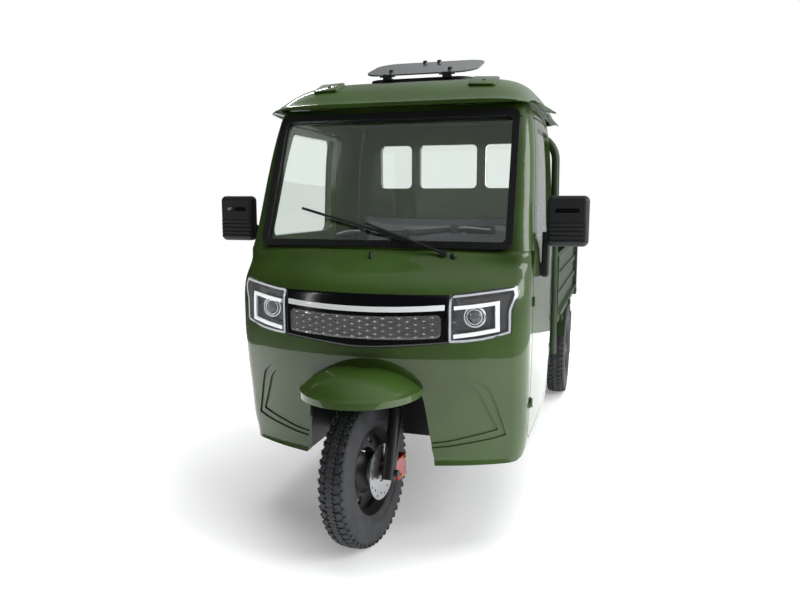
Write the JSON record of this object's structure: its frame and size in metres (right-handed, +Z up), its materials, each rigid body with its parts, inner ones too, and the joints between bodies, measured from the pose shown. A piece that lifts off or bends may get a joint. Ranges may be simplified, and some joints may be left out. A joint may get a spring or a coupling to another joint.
{
  "type": "electric cargo tricycle",
  "caption": "Electric cargo tricycle with an enclosed cab over a steered front wheel and a drop-side cargo bed.",
  "frame": {"origin": "on the ground, in the middle of the overall length and width", "axes": "-Y forwards, +X to the vehicle's left, +Z up"},
  "size_m": [1.432, 3.16, 1.8109],
  "materials": {
    "green_paint": "gloss olive green paint",
    "dark_green_paint": "gloss dark green paint on the bed",
    "black_rubber": "matte black rubber",
    "black_plastic": "satin black plastic",
    "lamp_housing": "dark and bright trimmed lamp housing",
    "clear_glass": "clear flat glass",
    "clear_lens": "clear polycarbonate",
    "tinted_acrylic": "grey tinted acrylic",
    "tyre_rubber": "black tyre rubber",
    "black_steel": "satin black powder coat",
    "disc_steel": "brushed steel",
    "red_caliper": "red painted casting",
    "seat_vinyl": "black vinyl under clear wrap",
    "cast_grey": "painted casting",
    "red_lens": "red lamp lens"
  },
  "bodies": {
    "chassis": {"cab_front_panel": "green_paint", "windscreen_surround": "green_paint", "windscreen": "clear_glass", "windscreen_seal": "black_rubber", "side_frames": "green_paint", "rear_panel": "green_paint", "rear_window": "clear_glass", "roof_panel": "green_paint", "roof_hatch_frame": "black_plastic", "grille_panel": "black_plastic", "headlamps": "lamp_housing", "headlamp_lenses": "clear_lens", "front_fender": "green_paint", "chassis_frame": "black_steel", "rear_axle": "cast_grey", "leaf_springs": "black_steel", "cargo_floor": "dark_green_paint", "cargo_headboard": "dark_green_paint", "cab_floor": "black_steel", "seat_cushion": "seat_vinyl", "seat_back": "seat_vinyl", "dashboard": "black_plastic", "battery_pack": "black_plastic", "wiper": "black_plastic", "rear_bumper": "black_steel", "tail_lamps": "red_lens"},
    "door_left": {"door_left": "green_paint", "door_glass_left": "clear_glass", "mirror_left": "black_plastic"},
    "door_right": {"door_right": "green_paint", "door_glass_right": "clear_glass", "mirror_right": "black_plastic"},
    "roof_hatch": {"roof_hatch": "tinted_acrylic"},
    "steering": {"front_fork": "black_steel", "handlebar": "black_steel", "brake_caliper": "red_caliper"},
    "front_wheel": {"front_tyre": "tyre_rubber", "front_rim": "black_steel", "front_brake_disc": "disc_steel"},
    "rear_wheel_left": {"rear_tyre_left": "tyre_rubber", "rear_rim_left": "black_steel"},
    "rear_wheel_right": {"rear_tyre_right": "tyre_rubber", "rear_rim_right": "black_steel"},
    "side_gate_left": {"side_gate_left": "dark_green_paint"},
    "side_gate_right": {"side_gate_right": "dark_green_paint"},
    "tailgate": {"tailgate": "dark_green_paint"}
  },
  "joints": [
    {"name": "steering", "type": "hinge", "parent": "chassis", "child": "steering", "pos_m": [0, -1.26986, 0.265], "axis": [0, 0.3746, 0.9272], "range_deg": [-33, 47]},
    {"name": "front_wheel_spin", "type": "hinge", "parent": "steering", "child": "front_wheel", "pos_m": [-0.00487, -1.31272, 0.26489], "axis": [0.9925, -0.113, 0.0457], "continuous": true},
    {"name": "rear_wheel_left_spin", "type": "hinge", "parent": "chassis", "child": "rear_wheel_left", "pos_m": [0.476, 0.957, 0.28], "axis": [1, 0, 0], "continuous": true},
    {"name": "rear_wheel_right_spin", "type": "hinge", "parent": "chassis", "child": "rear_wheel_right", "pos_m": [-0.476, 0.957, 0.28], "axis": [1, 0, 0], "continuous": true},
    {"name": "door_left_hinge", "type": "hinge", "parent": "chassis", "child": "door_left", "pos_m": [0.545, -1.1125, 0.5], "axis": [0, 0, -1], "range_deg": [0, 70]},
    {"name": "door_right_hinge", "type": "hinge", "parent": "chassis", "child": "door_right", "pos_m": [-0.545, -1.1125, 0.5], "axis": [0, 0, 1], "range_deg": [0, 70]},
    {"name": "roof_hatch_hinge", "type": "hinge", "parent": "chassis", "child": "roof_hatch", "pos_m": [0, -0.682, 1.713], "axis": [1, 0, 0], "range_deg": [-19, 15]},
    {"name": "side_gate_left_hinge", "type": "hinge", "parent": "chassis", "child": "side_gate_left", "pos_m": [0.547, 0.726, 0.598], "axis": [0, 1, 0], "range_deg": [0, 175]},
    {"name": "side_gate_right_hinge", "type": "hinge", "parent": "chassis", "child": "side_gate_right", "pos_m": [-0.547, 0.726, 0.598], "axis": [0, -1, 0], "range_deg": [0, 175]},
    {"name": "tailgate_hinge", "type": "hinge", "parent": "chassis", "child": "tailgate", "pos_m": [0, 1.557, 0.598], "axis": [-1, 0, 0], "range_deg": [0, 170]}
  ]
}
